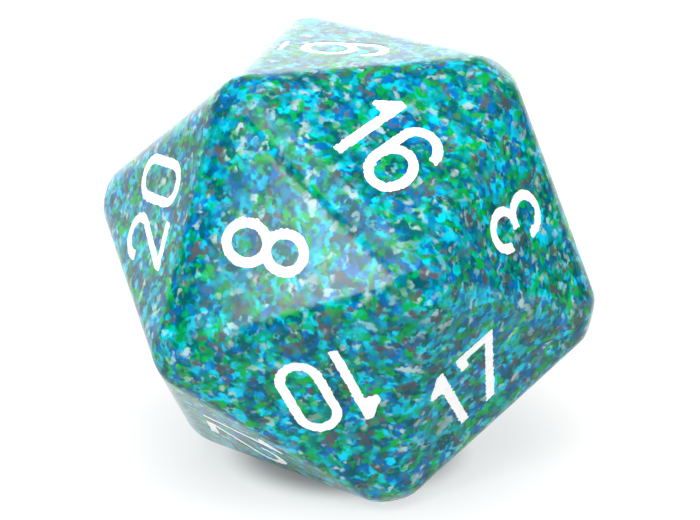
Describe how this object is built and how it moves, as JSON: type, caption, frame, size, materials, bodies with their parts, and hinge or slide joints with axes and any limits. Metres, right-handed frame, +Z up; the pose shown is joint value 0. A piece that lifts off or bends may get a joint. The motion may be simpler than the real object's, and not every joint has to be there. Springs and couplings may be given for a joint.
{
  "type": "polyhedral die",
  "caption": "Regular twenty-sided die with tumbled edges and engraved, paint-filled numerals, free to roll and rest on any face.",
  "frame": {"origin": "centre of the face it rests on, which is the 15", "axes": "+Z up through the 6 on top; -Y towards the foremost corner of the resting face, where faces 10, 17, 7, 15 and 12 meet"},
  "size_m": [0.036, 0.04, 0.034],
  "materials": {
    "speckled_body": "gloss, mottled in blue, cyan, green, grey and mauve granules",
    "numeral_paint": "matt white enamel in the engravings"
  },
  "bodies": {
    "root": {"die_body": "speckled_body", "numeral_01": "numeral_paint", "numeral_02": "numeral_paint", "numeral_03": "numeral_paint", "numeral_04": "numeral_paint", "numeral_05": "numeral_paint", "numeral_06": "numeral_paint", "numeral_07": "numeral_paint", "numeral_08": "numeral_paint", "numeral_09": "numeral_paint", "numeral_10": "numeral_paint", "numeral_11": "numeral_paint", "numeral_12": "numeral_paint", "numeral_13": "numeral_paint", "numeral_14": "numeral_paint", "numeral_15": "numeral_paint", "numeral_16": "numeral_paint", "numeral_17": "numeral_paint", "numeral_18": "numeral_paint", "numeral_19": "numeral_paint", "numeral_20": "numeral_paint"}
  },
  "joints": []
}
